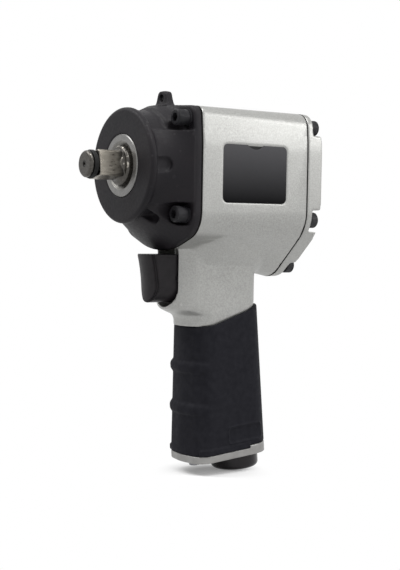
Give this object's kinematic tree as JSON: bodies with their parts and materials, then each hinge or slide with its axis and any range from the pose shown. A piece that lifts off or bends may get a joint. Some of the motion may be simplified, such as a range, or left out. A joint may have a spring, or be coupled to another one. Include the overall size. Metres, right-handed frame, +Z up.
{
  "type": "air impact wrench",
  "caption": "Pistol grip air impact wrench with a square drive, rocking hammer clutch, vane air motor, sprung trigger, reversing knob and raked rubber grip.",
  "frame": {"origin": "on the spindle axis, at the shoulder of the square drive where a socket seats", "axes": "+X along the spindle out of the nose, +Y to the left side of the tool, +Z up, away from the grip"},
  "size_m": [0.1225, 0.066, 0.1928],
  "materials": {
    "housing_grey": "satin silver paint with a fine speckle",
    "case_black": "satin",
    "grip_rubber": "matte",
    "trigger_black": "satin",
    "label_black": "gloss",
    "bright_steel": "ground",
    "ring_steel": "turned",
    "tool_steel": "machined",
    "black_bolt": "black oxide",
    "bare_aluminium": "satin",
    "inlet_black": "gloss",
    "bearing_steel": "polished",
    "valve_brass": "machined",
    "vane_composite": "matte",
    "seal_rubber": "matte",
    "gasket_fibre": "matte",
    "muffler_felt": "felt",
    "knob_black": "satin"
  },
  "bodies": {
    "housing": {"hammer_case": "case_black", "anvil_bushing": "ring_steel", "anvil_seal": "seal_rubber", "front_gasket": "gasket_fibre", "front_bolts": "black_bolt", "front_spring_washers": "black_bolt", "front_flat_washers": "black_bolt", "motor_housing": "housing_grey", "left_label_plate": "label_black", "right_label_plate": "label_black", "cylinder_liner": "tool_steel", "front_end_plate": "tool_steel", "rear_end_plate": "tool_steel", "front_bearing_outer": "bearing_steel", "rear_bearing_outer": "bearing_steel", "cylinder_dowel_pin": "bearing_steel", "rear_gasket": "gasket_fibre", "rear_cap": "housing_grey", "rear_bolts": "black_bolt", "detent_ball": "bearing_steel", "detent_spring": "bearing_steel", "stem_bushing": "valve_brass", "stem_seal": "seal_rubber", "throttle_spring": "bearing_steel", "grip_sleeve": "grip_rubber", "handle_end_plate": "bare_aluminium", "end_plate_screw": "tool_steel", "exhaust_muffler": "muffler_felt", "air_inlet": "inlet_black", "inlet_screen": "bearing_steel", "inlet_seal": "seal_rubber"},
    "drive": {"rotor": "tool_steel", "rotor_vanes": "vane_composite", "hammer_cage": "tool_steel", "hammer_pins": "bearing_steel", "front_bearing_inner": "bearing_steel", "rear_bearing_inner": "bearing_steel"},
    "spindle": {"anvil": "bright_steel", "friction_ring": "seal_rubber"},
    "hammer": {"jumbo_hammer": "tool_steel"},
    "front_balls": {"front_bearing_balls": "bearing_steel", "front_ball_cage": "valve_brass"},
    "rear_balls": {"rear_bearing_balls": "bearing_steel", "rear_ball_cage": "valve_brass"},
    "throttle": {"trigger": "trigger_black", "trigger_stem": "bearing_steel", "trigger_pin": "bearing_steel", "throttle_valve": "valve_brass", "throttle_seal": "seal_rubber"},
    "reverser": {"reverse_valve": "tool_steel", "reverse_knob": "knob_black", "knob_screw": "tool_steel"}
  },
  "joints": [
    {"name": "rotor_spin", "type": "hinge", "parent": "housing", "child": "drive", "pos_m": [-0.068, 0, 0], "axis": [1, 0, 0], "continuous": true},
    {"name": "anvil_spin", "type": "hinge", "parent": "housing", "child": "spindle", "pos_m": [0, 0, 0], "axis": [1, 0, 0], "continuous": true},
    {"name": "hammer_rock", "type": "hinge", "parent": "drive", "child": "hammer", "pos_m": [-0.02765, 0, 0.0193], "axis": [1, 0, 0], "range_deg": [-3, 3]},
    {"name": "front_ball_orbit", "type": "hinge", "parent": "housing", "child": "front_balls", "pos_m": [-0.0475, 0, 0], "axis": [1, 0, 0], "continuous": true},
    {"name": "rear_ball_orbit", "type": "hinge", "parent": "housing", "child": "rear_balls", "pos_m": [-0.0883, 0, 0], "axis": [1, 0, 0], "continuous": true},
    {"name": "trigger_slide", "type": "slide", "parent": "housing", "child": "throttle", "axis": [-1, 0, 0], "range_m": [0, 0.006], "stiffness_N_per_m": 1500, "springref_m": -0.004, "deforming": ["throttle_spring"]},
    {"name": "reverse_turn", "type": "hinge", "parent": "housing", "child": "reverser", "pos_m": [-0.0973, 0, -0.034], "axis": [1, 0, 0], "range_deg": [-40, 40]}
  ],
  "couplings": [
    {"joint": "anvil_spin", "follows": "rotor_spin", "ratio": 1},
    {"joint": "front_ball_orbit", "follows": "rotor_spin", "ratio": 0.3722},
    {"joint": "rear_ball_orbit", "follows": "rotor_spin", "ratio": 0.3722}
  ]
}
